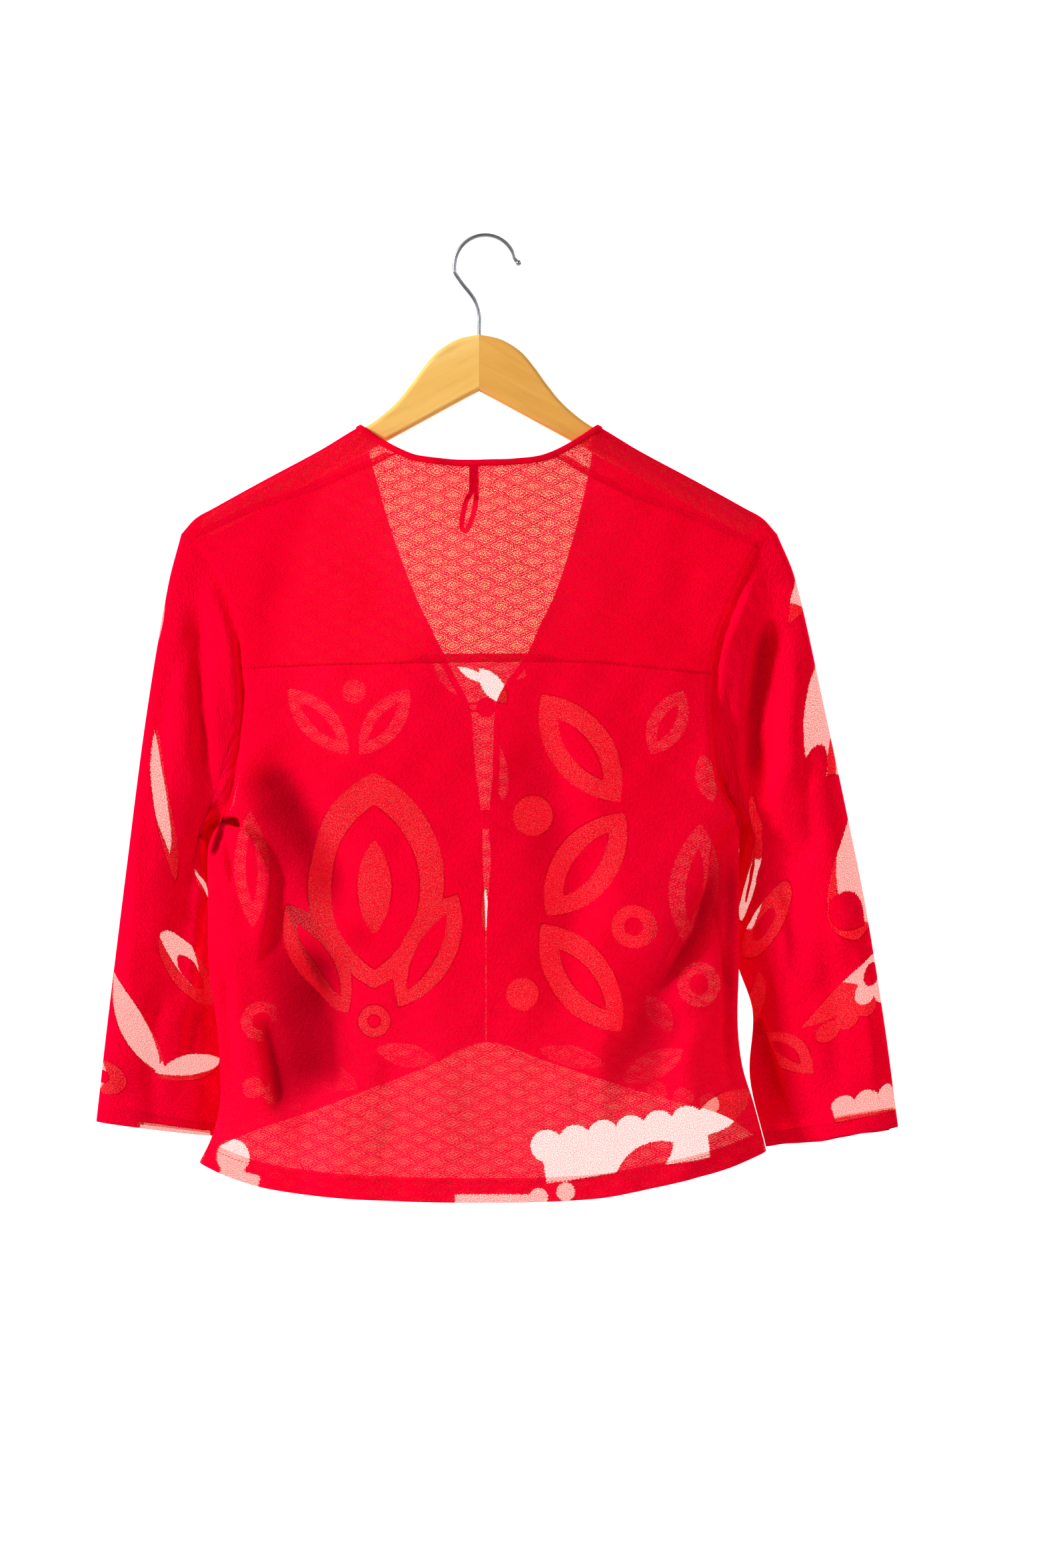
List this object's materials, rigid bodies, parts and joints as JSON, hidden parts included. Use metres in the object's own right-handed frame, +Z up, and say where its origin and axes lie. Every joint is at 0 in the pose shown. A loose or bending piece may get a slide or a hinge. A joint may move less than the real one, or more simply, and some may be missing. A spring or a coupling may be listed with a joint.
{
  "type": "cardigan on a wooden hanger",
  "caption": "Short red V-neck cardigan with three-quarter sleeves and a burnt-out lacy pattern, buttoned, hanging on a wooden clothes hanger.",
  "frame": {"origin": "inside the crown of the hook, where a rail carries it", "axes": "+Z up, -Y towards the back of the garment, +X to the wearer's right"},
  "size_m": [0.603, 0.0982, 0.7228],
  "materials": {
    "cloth": "soft crepe jersey with a small raised weave, burnt out to sheer in places",
    "binding": "self-cloth binding, stitched",
    "tape": "narrow satin tape",
    "button": "dyed to match, slightly glossy",
    "wood": "clear satin varnish over light wood",
    "steel": "polished plating"
  },
  "bodies": {
    "root": {"back_yoke": "cloth", "back_lower": "cloth", "front_left": "cloth", "front_right": "cloth", "sleeve_left": "cloth", "sleeve_right": "cloth", "binding_neck": "binding", "binding_left": "binding", "binding_right": "binding", "hanging_loop": "tape", "button_upper": "button", "button_lower": "button", "button_loop_upper": "binding", "button_loop_lower": "binding", "hanger_left": "wood", "hanger_right": "wood", "hook": "steel"}
  },
  "joints": []
}
